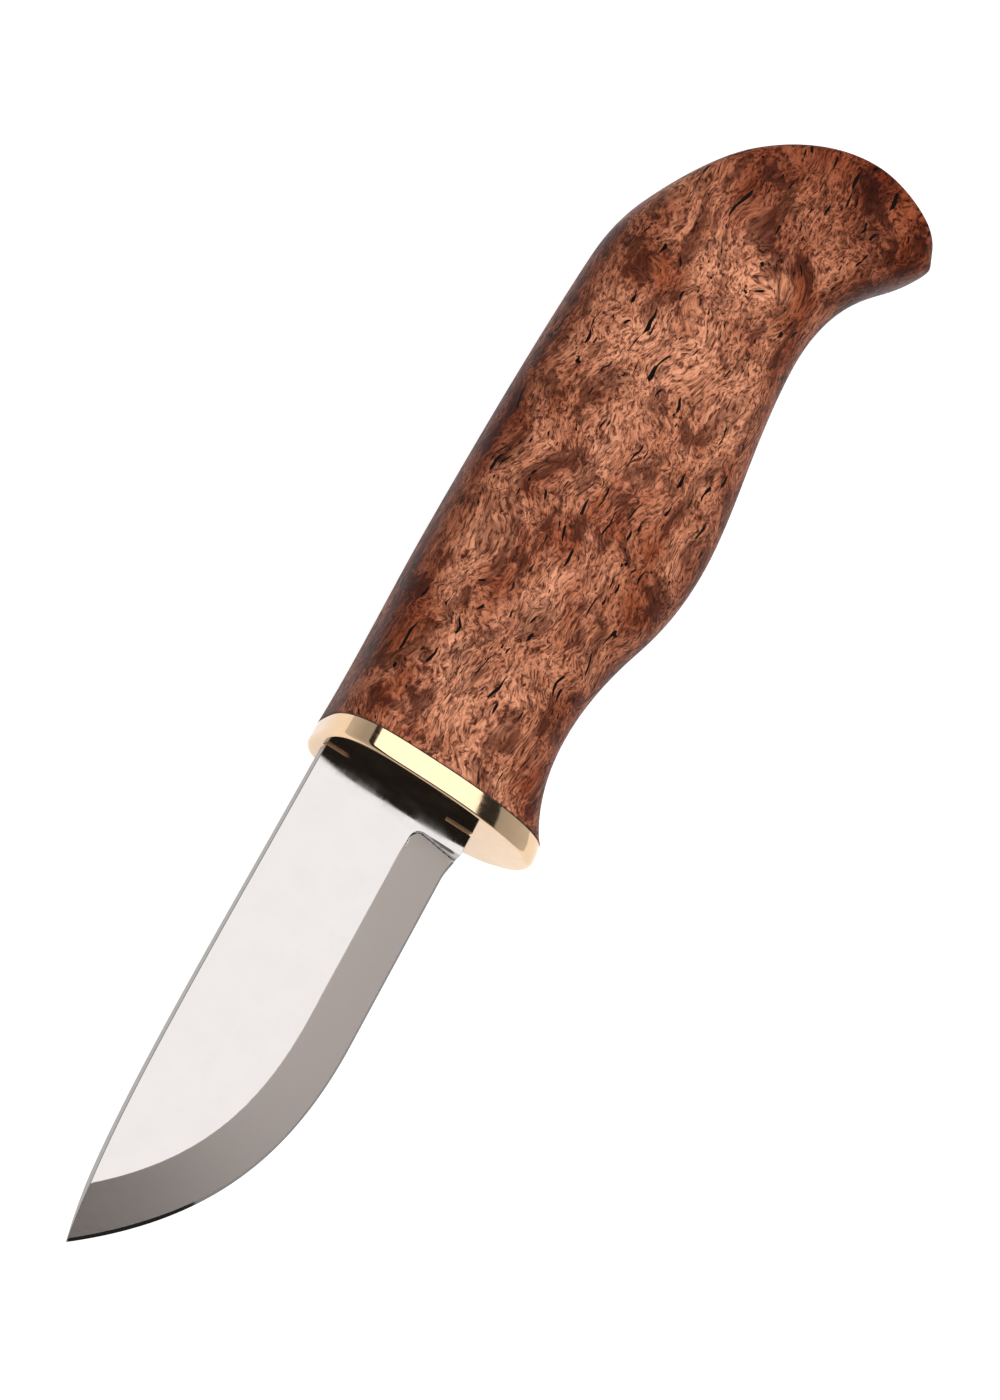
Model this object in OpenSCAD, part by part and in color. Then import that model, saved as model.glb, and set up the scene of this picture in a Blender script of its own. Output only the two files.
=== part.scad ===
// Nordic belt knife: a short broad blade on a stick tang, a brass bolster and a curly birch handle.
// The knife lies on its side: the point is at -X, the back of the blade at +Y, the cutting edge at -Y.
// Side outlines are drawn from the bolster's front face (x = 0) and from the axis of the tang (y = 0).

/* [Blade] */
// Length of the blade from the bolster to the point
blade_len = 75.5; // [70:0.5:90]
// Height of the back of the blade above the tang's axis, at the bolster
back_y = 11.4; // [10:0.1:12.5]
// Depth of the straight part of the edge below the tang's axis
edge_y = 11.8; // [11:0.1:12.5]
// Height of the point above the tang's axis
point_y = 8.6; // [6:0.1:9.5]
// Thickness of the steel
blade_t = 2.5; // [2:0.1:3.5]
// Width of the ground bevel, measured square to the edge
bevel_w = 7; // [5:0.1:8]
// Length of the unground stretch next to the bolster
ricasso_len = 3.3; // [2.5:0.1:5]

/* [Tang] */
// Width of the tang where it passes through the bolster
tang_root_w = 15; // [12:0.5:17]
// Width of the tang at its hidden end
tang_end_w = 7; // [5:0.5:9]
// Distance from the bolster's front face to the end of the tang
tang_len = 80; // [60:1:84]
// Thickness of the tang, eased to slide into the bolster's slot
tang_t = 2.3; // [1.8:0.1:2.5]

/* [Bolster] */
// Thickness of the brass plate
bolster_t = 3.2; // [2.5:0.1:4]
// Radius worn and polished onto the plate's front edge
bolster_edge_r = 0.6; // [0.2:0.1:1]
// Half the width of the plate across its flat sides
bolster_half_w = 10.8; // [10:0.1:12]

/* [Handle] */
// Distance from the bolster's front face to the end of the handle
handle_end = 109.9; // [105:0.1:115]
// Half the width of the handle at its fullest
grip_half_w = 12; // [11.5:0.1:13]
// Half the width of the handle across the butt
butt_half_w = 11; // [9:0.1:12]
// Half the width of the handle at the tip of the hook
hook_half_w = 8.5; // [7:0.1:10]

/* [Glue] */
// Thickness of the glue between the brass and the wood
glue_film = 0.15; // [0.1:0.05:0.3]
// Room for glue all round the tang
glue_gap = 0.5; // [0.3:0.1:1.5]

/* [Hidden] */

$fn = 48;
quarter_steps = 8;      // facets in a quarter of a section of the handle
rings_per_span = 11;    // sections in each span of the handle
edge_steps = 16;        // chords in the curved belly of the edge
edge_half = 0.1;        // half the width of the edge before its last honing
reach = 1;              // how far cutting shapes run past the steel
step_y = 12;            // depth of the unground stretch below the tang's axis
step_len = 4.2;         // length of the small step from there up to the edge
plunge_r = 1.8;         // radius at the upper corner of the bevel, beside the bolster
belly_x = -34;          // where the straight edge turns into the belly
slope = (blade_t / 2 - edge_half) / bevel_w;
wood_x = bolster_t + glue_film;
stretch = handle_end - 109.9;

function bezier(p, t) =
    pow(1 - t, 3) * p[0] + 3 * t * pow(1 - t, 2) * p[1] + 3 * t * t * (1 - t) * p[2] + pow(t, 3) * p[3];
function mix(a, b, t) = a + (b - a) * t;
function smooth(t) = t * t * (3 - 2 * t);
// Value at place t of a list of values that stand at t = 0, 1, 2 and so on, with an even slope at each
function along(values, t) =
    let (i = min(floor(t), len(values) - 2))
    mix(values[i], values[i + 1], smooth(t - i));

// ---- Outline of the handle: four spans, counted 0 to 4 from the wood's front end to the hook ----

guard_y = -20.9;    // lowest point of the front end, where the finger stops
crown_y = 13;       // highest point of the front end

// Upper side: two spans along the back, one round the butt, one down to the tip of the hook
upper = [
    [[wood_x, crown_y], [13, 12.6], [24, 13.5], [34, 13.5]],
    [[34, 13.5], [50, 13.5], [66, 13.25], [80, 12.4]],
    [[80, 12.4], [97.2, 11.35], [handle_end, -3.5], [handle_end, -14.5]],
    [[handle_end, -14.5], [handle_end, -19.5], [107.8 + stretch, -26.7], [104.1, -28.1]]
];
// Lower side: the finger groove, the palm swell, and one long curve under the hook
groove = [[wood_x, guard_y], [9.5, -16.5], [20, -15], [34, -19.9]];
swell = [[34, -19.9], [50.5, -25.7], [61.5, -20.1], [80, -19.6]];
under = [[80, -19.6], [93.5, -19.25], [97.4, -25.5], [102.8, -29.1]];
under_split = 0.6;  // share of the curve under the hook that lies opposite the butt

function upper_at(t) =
    let (i = min(floor(t), 3))
    bezier(upper[i], t - i);
function lower_at(t) =
    t < 1 ? bezier(groove, t)
    : t < 2 ? bezier(swell, t - 1)
    : t < 3 ? bezier(under, (t - 2) * under_split)
    : bezier(under, under_split + (t - 3) * (1 - under_split));

// Half width of the handle, and how far down each section its fullest line lies
function half_width(t) = along([bolster_half_w, grip_half_w - 0.3, grip_half_w, butt_half_w, hook_half_w], t);
function ridge_share(t) = along([0.355, 0.47, 0.5, 0.5, 0.5], t);
// Roundness of a section above and below that line: 1 is an ellipse, near 0 a flat face with sharp corners
function upper_round(t) = t < 2 ? along([0.62, 0.8, 0.85], t) : mix(0.85, 0.13, smooth(min(1, (t - 2) * 2)));
function lower_round(t) = along([0.86, 0.95, 0.95, 0.85, 0.6], t);

// A quarter of a section: a is the angle from the outline (0) to the fullest line (90).
// The result is [share of the way down to the fullest line, share of the half width].
function quarter(a, round) = [1 - pow(cos(a), round), pow(sin(a), round)];

// Points round a section that runs from top to low, fullest at the given share of its depth
function section(top, low, half_w, ridge, upper_r, lower_r) =
    let (
        fullest = mix(top, low, ridge),
        da = 90 / quarter_steps,
        up = [for (i = [0 : quarter_steps]) quarter(i * da, upper_r)],
        down = [for (i = [0 : quarter_steps - 1]) quarter(i * da, lower_r)],
        front = concat(
            [for (q = up) [mix(top, fullest, q[0]), half_w * q[1]]],
            [for (i = [1 : quarter_steps]) let (q = down[quarter_steps - i])
                [mix(low, fullest, q[0]), half_w * q[1]]]
        ),
        last = len(front) - 1
    )
    concat(
        [for (p = front) [p[0][0], p[0][1], p[1]]],
        [for (i = [1 : last - 1]) let (p = front[last - i]) [p[0][0], p[0][1], -p[1]]]
    );

// Skin over a list of rings that all have the same number of points, closed by a flat face at each end
module skin(rings) {
    n = len(rings[0]);
    m = len(rings);
    points = [for (r = rings) for (p = r) p];
    sides = [
        for (j = [0 : m - 2]) for (i = [0 : n - 1])
            let (a = j * n + i, b = j * n + (i + 1) % n)
            each [[a, b + n, b], [a, a + n, b + n]]
    ];
    front_end = [for (i = [0 : n - 1]) i];
    back_end = [for (i = [0 : n - 1]) m * n - 1 - i];
    polyhedron(points, concat(sides, [front_end, back_end]), convexity = 6);
}

function handle_section(t) =
    section(upper_at(t), lower_at(t), half_width(t), ridge_share(t), upper_round(t), lower_round(t));
handle_rings = [for (k = [0 : 4 * rings_per_span]) handle_section(k / rings_per_span)];

// Section of the front end of the handle, moved to x and drawn in by inset
function front_section(x, inset, low) =
    section(
        [x, crown_y - inset], [x, low + inset], bolster_half_w - inset,
        ridge_share(0), upper_round(0), lower_round(0)
    );

// The knife is set down so that its box stands centred on the origin, with its lowest side at z = 0
handle_ys = [for (r = handle_rings) for (p = r) p[1]];
centre_x = (handle_end - blade_len) / 2;
centre_y = (max(handle_ys) + min(handle_ys)) / 2;
module lay_down() {
    translate([-centre_x, -centre_y, grip_half_w]) children();
}

// ---- Outline of the blade ----

back_curve = [[0, back_y], [-35, back_y - 0.2], [-60, back_y + 0.5], [-blade_len, point_y]];
step_curve = [
    [-ricasso_len, -step_y], [-ricasso_len - 1.4, -step_y],
    [-ricasso_len - 2.6, -edge_y + 0.35], [-ricasso_len - step_len, -edge_y + 0.3]
];
belly_curve = [[belly_x, -edge_y], [-51.5, -edge_y], [-64, -5.9], [-blade_len, point_y]];

back_points = [for (i = [0 : edge_steps]) bezier(back_curve, i / edge_steps)];
step_points = [for (i = [0 : 4]) bezier(step_curve, i / 4)];
belly_points = [for (i = [0 : edge_steps]) bezier(belly_curve, i / edge_steps)];
edge_points = concat(step_points, belly_points);
tang_points = [
    [-reach, -tang_root_w / 2], [bolster_t, -tang_root_w / 2],
    [tang_len - 2, -tang_end_w / 2], [tang_len, -tang_end_w / 2 + 2],
    [tang_len, tang_end_w / 2 - 2], [tang_len - 2, tang_end_w / 2],
    [bolster_t, tang_root_w / 2], [-reach, tang_root_w / 2]
];
blade_outline = concat(
    back_points,
    [for (i = [1 : edge_steps]) belly_points[edge_steps - i]],
    [for (i = [0 : 4]) step_points[4 - i]],
    [[0, -step_y]]
);

function unit(v) = v / norm(v);
// Direction across the blade, square to the edge at its point number i
function inward(i) =
    let (d = unit(edge_points[min(i + 1, len(edge_points) - 1)] - edge_points[max(i - 1, 0)]))
    [-d[1], d[0]] * -1;

// Wedge of steel that the grinder takes off one side, a triangle swept along the edge
module ground_away() {
    last = len(edge_points) - 1;
    along_edge = concat(
        [edge_points[0] + [reach, 0]],
        edge_points,
        [edge_points[last] + unit(edge_points[last] - edge_points[last - 1]) * reach]
    );
    across = concat([[0, 1]], [for (i = [0 : last]) i < 5 ? [0, 1] : inward(i)], [inward(last)]);
    rings = [
        for (k = [0 : len(along_edge) - 1])
            let (
                e = along_edge[k],
                out = e - across[k] * reach,
                in = e + across[k] * (bevel_w + reach)
            )
            [
                [out[0], out[1], edge_half - slope * reach],
                [in[0], in[1], blade_t / 2 + slope * reach],
                [out[0], out[1], blade_t / 2 + slope * reach]
            ]
    ];
    intersection() {
        skin([for (k = [0 : len(rings) - 1]) rings[len(rings) - 1 - k]]);
        translate([0, 0, -blade_t]) linear_extrude(2 * blade_t) plunge_outline();
    }
}

// Plan of the ground area: it stops short of the bolster in a line with one rounded corner
module plunge_outline() {
    shoulder_y = -edge_y + 0.3 + bevel_w;
    corner = [-ricasso_len - plunge_r, shoulder_y - plunge_r];
    arc = [for (a = [0 : 15 : 90]) corner + plunge_r * [cos(a), sin(a)]];
    polygon(concat(
        [[-ricasso_len, -step_y - 2 * reach]],
        arc,
        [[-ricasso_len - 2 * plunge_r, shoulder_y + 2 * reach],
         [-blade_len - 2 * reach, 2 * back_y],
         [-blade_len - 2 * reach, -step_y - 2 * reach]]
    ));
}

// ---- Sub-parts ----

// The tang as a plate, which starts a little way inside the blade
module tang() {
    translate([0, 0, -tang_t / 2]) linear_extrude(tang_t) polygon(tang_points);
}

// One piece of steel: the blade, ground on both sides, and the tang that the handle hides
module blade() {
    color("gainsboro") lay_down() union() {
        tang();
        difference() {
            translate([0, 0, -blade_t / 2]) linear_extrude(blade_t) polygon(blade_outline);
            ground_away();
            mirror([0, 0, 1]) ground_away();
        }
    }
}

// Brass plate with its front edge rounded over and a slot that the tang fills
module bolster() {
    r = bolster_edge_r;
    rounded = [for (a = [0 : 30 : 90]) front_section(r - r * sin(a), r - r * cos(a), guard_y - 0.3)];
    color("goldenrod") lay_down() difference() {
        skin([for (k = [0 : 3]) rounded[3 - k], front_section(bolster_t, 0, guard_y)]);
        translate([bolster_t / 2, 0, 0]) cube([2 * bolster_t, tang_root_w, tang_t], center = true);
    }
}

// Plan of the pocket in the wood: the tang with room for glue
module pocket_outline() {
    polygon([
        [wood_x - reach, -tang_root_w / 2 - glue_gap], [tang_len + glue_gap, -tang_end_w / 2 - glue_gap],
        [tang_len + glue_gap, tang_end_w / 2 + glue_gap], [wood_x - reach, tang_root_w / 2 + glue_gap]
    ]);
}
module pocket() {
    depth = tang_t + 2 * glue_gap;
    translate([0, 0, -depth / 2]) linear_extrude(depth) pocket_outline();
}

// One block of curly birch, shaped all over, with a pocket for the tang
module handle() {
    color("saddlebrown") lay_down() difference() {
        skin(handle_rings);
        pocket();
    }
}

// Cured glue: it fills the pocket round the tang and lies as a film between the brass and the wood
module epoxy() {
    color("dimgray") lay_down() difference() {
        union() {
            skin([front_section(bolster_t, 0, guard_y), front_section(wood_x, 0, guard_y)]);
            intersection() {
                pocket();
                translate([bolster_t, -back_y, -blade_t * 2]) cube([handle_end, 2 * back_y, blade_t * 4]);
            }
        }
        tang();
    }
}

blade();
bolster();
handle();
epoxy();
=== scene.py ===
"""Nordic belt knife: ground steel blade, brass bolster with a finger stop, hooked curly birch handle."""
import math

import bmesh
import bpy
import numpy as np
from bpy.props import FloatProperty, FloatVectorProperty, PointerProperty
from mathutils import Matrix, Vector


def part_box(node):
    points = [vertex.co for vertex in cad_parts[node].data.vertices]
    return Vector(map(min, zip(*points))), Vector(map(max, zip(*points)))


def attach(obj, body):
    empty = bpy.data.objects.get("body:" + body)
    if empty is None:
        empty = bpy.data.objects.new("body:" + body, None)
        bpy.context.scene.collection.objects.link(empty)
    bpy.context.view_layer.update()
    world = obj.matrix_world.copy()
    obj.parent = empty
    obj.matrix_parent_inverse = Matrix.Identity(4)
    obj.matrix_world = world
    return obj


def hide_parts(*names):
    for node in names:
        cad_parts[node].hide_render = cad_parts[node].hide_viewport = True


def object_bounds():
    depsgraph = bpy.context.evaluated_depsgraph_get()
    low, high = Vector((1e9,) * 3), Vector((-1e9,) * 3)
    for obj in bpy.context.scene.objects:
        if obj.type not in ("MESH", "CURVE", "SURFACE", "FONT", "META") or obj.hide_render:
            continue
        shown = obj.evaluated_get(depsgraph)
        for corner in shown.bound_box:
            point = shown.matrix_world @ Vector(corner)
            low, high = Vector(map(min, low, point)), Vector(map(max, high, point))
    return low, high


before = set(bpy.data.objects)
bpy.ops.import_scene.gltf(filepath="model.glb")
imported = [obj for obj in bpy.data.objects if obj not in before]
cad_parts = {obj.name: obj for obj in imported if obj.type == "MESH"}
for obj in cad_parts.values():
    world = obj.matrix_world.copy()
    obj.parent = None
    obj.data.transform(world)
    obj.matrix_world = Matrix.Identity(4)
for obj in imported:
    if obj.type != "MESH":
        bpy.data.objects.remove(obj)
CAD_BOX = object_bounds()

bl_info = {
    "name": "Nordic belt knife",
    "version": (1, 0, 0),
    "blender": (4, 5, 0),
    "location": "View3D > Sidebar > Belt knife",
    "description": "Builds the looks of a belt knife with a brass bolster and a curly birch handle",
    "category": "Object",
}

MM = 0.001
STEEL_LO, STEEL_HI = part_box("blade")
BRASS_LO, BRASS_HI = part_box("bolster")
WOOD_LO, WOOD_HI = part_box("handle")
STEP_Y = 12.0           # depth of the unground stretch below the tang's axis, mm
# Outlines are drawn in mm from here: the bolster's front face, the tang's axis, the blade's middle plane
ZERO = np.array([BRASS_LO.x, STEEL_LO.y + STEP_Y * MM, (WOOD_LO.z + WOOD_HI.z) / 2])


def linear(hex_code):
    """Colour of the scene for an sRGB hex code such as #8A5A3F."""
    parts = [int(hex_code[i:i + 2], 16) / 255 for i in (1, 3, 5)]
    return [c / 12.92 if c <= 0.04045 else ((c + 0.055) / 1.055) ** 2.4 for c in parts] + [1.0]


def length(name, text, default, low, high):
    return FloatProperty(name=name, description=text, default=default, min=low, max=high,
                         subtype="DISTANCE", unit="LENGTH", precision=5)


def colour(name, text, hex_code):
    return FloatVectorProperty(name=name, description=text, default=linear(hex_code), size=4,
                               min=0, max=1, subtype="COLOR")


class BladeSettings(bpy.types.PropertyGroup):
    reach: length("Blade length", "From the bolster to the point",
                  BRASS_LO.x - STEEL_LO.x, 0.07, 0.09)
    thickness: length("Steel thickness", "Thickness of the unground steel",
                      STEEL_HI.z - STEEL_LO.z, 0.002, 0.0035)
    bevel: length("Bevel width", "Width of the ground bevel, square to the edge", 0.007, 0.005, 0.008)
    honed: length("Honed edge", "Width of the last honing along the edge", 0.0003, 0.0001, 0.0008)
    flat_colour: colour("Flat", "Colour of the polished flats", "#AFABA9")
    bevel_colour: colour("Bevel", "Colour of the satin bevels", "#A39A95")
    # The linished back has the bevel's satin finish; its darker colour is painted shade for the dimmer light
    # on the back
    shaded_back_colour: colour("Back", "Colour of the linished back, darkened as painted shade", "#88827D")


class BolsterSettings(bpy.types.PropertyGroup):
    thickness: length("Bolster thickness", "Thickness of the brass plate",
                      BRASS_HI.x - BRASS_LO.x, 0.0025, 0.004)
    brass_colour: colour("Brass", "Colour of the polished brass", "#DEBE9B")


class HandleSettings(bpy.types.PropertyGroup):
    end: length("Handle end", "From the bolster's front face to the butt",
                WOOD_HI.x - BRASS_LO.x, 0.105, 0.115)
    half_width: length("Half width", "Half the width of the handle at its fullest",
                       (WOOD_HI.z - WOOD_LO.z) / 2, 0.0115, 0.013)
    wood_colour: colour("Wood", "Colour of the stained birch between its flames", "#A65838")
    flame_colour: colour("Flame", "Colour of the bright flames of the figure", "#EAA27E")
    dark_colour: colour("Dark wood", "Colour of the dark patches", "#4A2115")
    # Tint for the painted shade along the round sides, and for the darker wood towards the butt
    side_shade_and_butt_colour: colour("Side shade and butt", "Tint of the painted shade along the sides and of the darker butt", "#AC7C5A")
    fleck_colour: colour("Flecks", "Colour of the bark flecks", "#120906")
    glue_colour: colour("Glue", "Colour of the glue line", "#1C1512")


class StageSettings(bpy.types.PropertyGroup):
    floor_colour: colour("Floor", "Colour of the floor", "#A8A8A8")
    soft_light: FloatProperty(name="Soft light", description="Brightness of the overhead soft light",
                              default=1.6, min=0, max=10)
    room_light: FloatProperty(name="Room light", description="Brightness of the light from all round",
                              default=0.8, min=0, max=10)


# ---- Curves and sections, in mm ----

def bezier(p, t):
    p = np.asarray(p, float)
    return (1 - t) ** 3 * p[0] + 3 * t * (1 - t) ** 2 * p[1] + 3 * t * t * (1 - t) * p[2] + t ** 3 * p[3]


def smooth(t):
    t = np.clip(t, 0, 1)
    return t * t * (3 - 2 * t)


def mix(a, b, t):
    return a + (b - a) * t


def along(values, t):
    """Value at place t of values that stand at t = 0, 1, 2 and so on."""
    i = min(int(t), len(values) - 2)
    return mix(values[i], values[i + 1], smooth(t - i))


CROWN_Y, GUARD_Y = 13.0, -20.9      # top and bottom of the handle's front end
GUARD_FLARE = 0.3                   # how much further down the brass reaches at its front
FRONT_HALF = 10.8                   # half the width of the front end
HALF_STEPS = 48                     # facets in each half of a section
GLUE_FILM = 0.15                    # between brass and wood
GLUE_GAP = 0.5                      # round the tang
# How the section changes along the handle: how far down its widest point lies, as a share of the
# depth, and its roundness above and below that point (0 is square, 1 an ellipse)
RIDGE = [0.355, 0.47, 0.5, 0.5, 0.5]
ROUND_UP = [0.62, 0.8, 0.85]
ROUND_LOW = [0.86, 0.95, 0.95, 0.85, 0.6]
BUTT_ROUND_UP = 0.13                # nearly square on top at the butt


def half_section(top, low, half_w, ridge, round_up, round_low):
    """Half a section from top to low: rows of x, y, z, spaced by length and by how fast it turns."""
    top, low = np.asarray(top, float), np.asarray(low, float)
    depth = np.linalg.norm(low - top)
    u = np.linspace(0, 1, 160)
    a = np.pi / 2 * mix(u, u ** 3, 0.75)
    up = np.stack([ridge * (1 - np.cos(a) ** round_up), np.sin(a) ** round_up], 1)
    down = np.stack([1 - (1 - ridge) * (1 - np.cos(a) ** round_low), np.sin(a) ** round_low], 1)[::-1]
    half = np.concatenate([up, down[1:]])
    flat = half * [depth, half_w]
    step = np.diff(flat, axis=0)
    turn = np.abs(np.diff(np.unwrap(np.arctan2(step[:, 1], step[:, 0])), prepend=np.pi / 2))
    size = np.hypot(step[:, 0], step[:, 1])
    pace = np.concatenate([[0], np.cumsum(size / size.sum() + 0.9 * turn / np.pi)])
    even = np.linspace(0, pace[-1], HALF_STEPS + 1)
    share = np.interp(even, pace, half[:, 0])
    wide = np.interp(even, pace, half[:, 1]) * half_w
    xy = top + np.outer(share, low - top)
    wide[0] = wide[-1] = 0
    return np.column_stack([xy, wide])


def whole_section(half):
    """The half section and its mirror image as one ring."""
    other = half[-2:0:-1] * [1, 1, -1]
    return np.concatenate([half, other])


def front_ring(x, low=GUARD_Y, inset=0.0):
    """The outline that the brass and the wood share, at x and set in by inset."""
    half = half_section([x, CROWN_Y - inset], [x, low + inset], FRONT_HALF - inset,
                        RIDGE[0], ROUND_UP[0], ROUND_LOW[0])
    return whole_section(half)


def slot_ring(x, half_y, half_z, count):
    """A slot's outline with count points, from its top end towards +z, in step with a section's ring."""
    corners = np.array([[half_y, 0], [half_y, half_z], [-half_y, half_z], [-half_y, 0],
                        [-half_y, -half_z], [half_y, -half_z], [half_y, 0]])
    run = np.concatenate([[0], np.cumsum(np.linalg.norm(np.diff(corners, axis=0), axis=1))])
    even = np.linspace(0, run[-1], count + 1)[:-1]
    for c in run[1:-1]:
        even[np.argmin(np.abs(even - c))] = c
    y = np.interp(even, run, corners[:, 0])
    z = np.interp(even, run, corners[:, 1])
    return np.column_stack([np.full(count, x), y, z])


# ---- Meshes ----

def fresh_piece(name, points, faces, finishes, face_finish=None):
    """A piece from points in mm, with its materials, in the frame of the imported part."""
    mesh = bpy.data.meshes.new(name)
    mesh.from_pydata((np.asarray(points) * MM + ZERO).tolist(), [], faces)
    for finish in finishes:
        mesh.materials.append(finish)
    if face_finish is not None:
        mesh.polygons.foreach_set("material_index", face_finish)
    piece = bpy.data.objects.new(name, mesh)
    bpy.context.scene.collection.objects.link(piece)
    return piece


def finish_mesh(piece, merge, sharp_angle):
    """Welds points that coincide, turns the faces outwards, smooths all but the sharp edges."""
    work = bmesh.new()
    work.from_mesh(piece.data)
    bmesh.ops.remove_doubles(work, verts=work.verts, dist=merge * MM)
    bmesh.ops.dissolve_degenerate(work, edges=work.edges, dist=merge * MM * 0.5)
    loose = [v for v in work.verts if not v.link_faces]
    bmesh.ops.delete(work, geom=loose, context="VERTS")
    bmesh.ops.recalc_face_normals(work, faces=work.faces)
    work.to_mesh(piece.data)
    work.free()
    piece.data.shade_smooth()
    piece.data.set_sharp_from_angle(angle=math.radians(sharp_angle))


def loft(rings, first_cap=True, last_cap=True, around=False):
    """Points and faces of a skin over rings; around joins the last ring back to the first."""
    n, m = len(rings[0]), len(rings)
    faces = []
    for j in range(m if around else m - 1):
        a, b = j * n, (j + 1) % m * n
        faces += [(a + i, a + (i + 1) % n, b + (i + 1) % n, b + i) for i in range(n)]
    if first_cap and not around:
        faces.append(tuple(range(n)))
    if last_cap and not around:
        faces.append(tuple(reversed(range((m - 1) * n, m * n))))
    return np.concatenate(rings), faces


# ---- Node helper ----

def node(tree, kind, inputs=(), **settings):
    """Adds one node. inputs maps a socket to a value or to the output that feeds it."""
    made = tree.nodes.new(kind)
    for name, value in settings.items():
        setattr(made, name, value)
    for socket, value in dict(inputs).items():
        if isinstance(value, bpy.types.NodeSocket):
            tree.links.new(value, made.inputs[socket])
        else:
            made.inputs[socket].default_value = value
    return made


def fresh_material(name):
    """An empty material with its shader and output, and the object's coordinates in mm."""
    material = bpy.data.materials.new(name)
    material.use_nodes = True
    tree = material.node_tree
    tree.nodes.clear()
    shader = node(tree, "ShaderNodeBsdfPrincipled")
    node(tree, "ShaderNodeOutputMaterial", {"Surface": shader.outputs["BSDF"]})
    place = node(tree, "ShaderNodeTexCoord").outputs["Object"]
    mm = node(tree, "ShaderNodeVectorMath", {0: place, 1: (1000, 1000, 1000)}, operation="MULTIPLY")
    return material, tree, shader, mm.outputs["Vector"]


# ---- Materials ----

def polished_steel(colour_):
    # Stainless steel, belt polished: a clear mirror of what is above it, with a faint grey mottling
    # and hair scratches that run along the blade; over the last few mm before the bolster, where the
    # belt can't reach, it is a little hazier.
    material, tree, shader, mm = fresh_material("stainless_steel_polished")
    cloud = node(tree, "ShaderNodeTexNoise", {"Vector": mm, "Scale": 0.22, "Detail": 5, "Roughness": 0.6})
    lengthwise = node(tree, "ShaderNodeVectorMath", {0: mm, 1: (0.09, 2.4, 2.4)}, operation="MULTIPLY")
    hair = node(tree, "ShaderNodeTexNoise", {"Vector": lengthwise.outputs[0], "Scale": 2.0, "Detail": 3})
    tone = node(tree, "ShaderNodeMapRange", {"Value": cloud.outputs[0], "From Min": 0.3, "From Max": 0.7,
                                             "To Min": 0.965, "To Max": 1.0})
    tint = node(tree, "ShaderNodeMix", {0: 1.0, 6: colour_, 7: tone.outputs[0]},
                data_type="RGBA", blend_type="MULTIPLY")
    gloss = node(tree, "ShaderNodeMapRange", {"Value": hair.outputs[0], "From Min": 0.35, "From Max": 0.7,
                                              "To Min": 0.035, "To Max": 0.08})
    x = node(tree, "ShaderNodeSeparateXYZ", {0: mm}).outputs["X"]
    near = node(tree, "ShaderNodeMapRange", {"Value": x, "From Min": BRASS_LO.x / MM - 6,
                                             "From Max": BRASS_LO.x / MM - 3})
    across = node(tree, "ShaderNodeVectorMath", {0: mm, 1: (1, 0.25, 1)}, operation="MULTIPLY")
    blotch = node(tree, "ShaderNodeTexNoise", {"Vector": across.outputs[0], "Scale": 0.7, "Detail": 1})
    haze = node(tree, "ShaderNodeMapRange", {"Value": blotch.outputs[0], "From Min": 0.4, "From Max": 0.65,
                                             "To Min": 0.01, "To Max": 0.09})
    dull = node(tree, "ShaderNodeMath", {0: near.outputs[0], 1: haze.outputs[0], 2: gloss.outputs[0]},
                operation="MULTIPLY_ADD")
    tree.links.new(tint.outputs[2], shader.inputs["Base Color"])
    tree.links.new(dull.outputs[0], shader.inputs["Roughness"])
    shader.inputs["Metallic"].default_value = 1.0
    return material


def satin_steel(name, colour_):
    # Stainless steel, satin ground or linished: the belt's lines run across, about 0.1 mm apart,
    # drawn 0.25 mm apart so that they show; they spread the light to an even grey.
    material, tree, shader, mm = fresh_material(name)
    across = node(tree, "ShaderNodeVectorMath", {0: mm, 1: (4.0, 0.5, 0.5)}, operation="MULTIPLY")
    line = node(tree, "ShaderNodeTexNoise", {"Vector": across.outputs[0], "Scale": 1.0, "Detail": 4,
                                             "Roughness": 0.65})
    tone = node(tree, "ShaderNodeMapRange", {"Value": line.outputs[0], "From Min": 0.3, "From Max": 0.7,
                                             "To Min": 0.95, "To Max": 1.0})
    tint = node(tree, "ShaderNodeMix", {0: 1.0, 6: colour_, 7: tone.outputs[0]},
                data_type="RGBA", blend_type="MULTIPLY")
    gloss = node(tree, "ShaderNodeMapRange", {"Value": line.outputs[0], "From Min": 0.3, "From Max": 0.7,
                                              "To Min": 0.3, "To Max": 0.36})
    bump = node(tree, "ShaderNodeBump", {"Height": line.outputs[0], "Strength": 0.15, "Distance": 0.00001})
    tree.links.new(tint.outputs[2], shader.inputs["Base Color"])
    tree.links.new(gloss.outputs[0], shader.inputs["Roughness"])
    tree.links.new(bump.outputs[0], shader.inputs["Normal"])
    shader.inputs["Metallic"].default_value = 1.0
    return material


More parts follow.
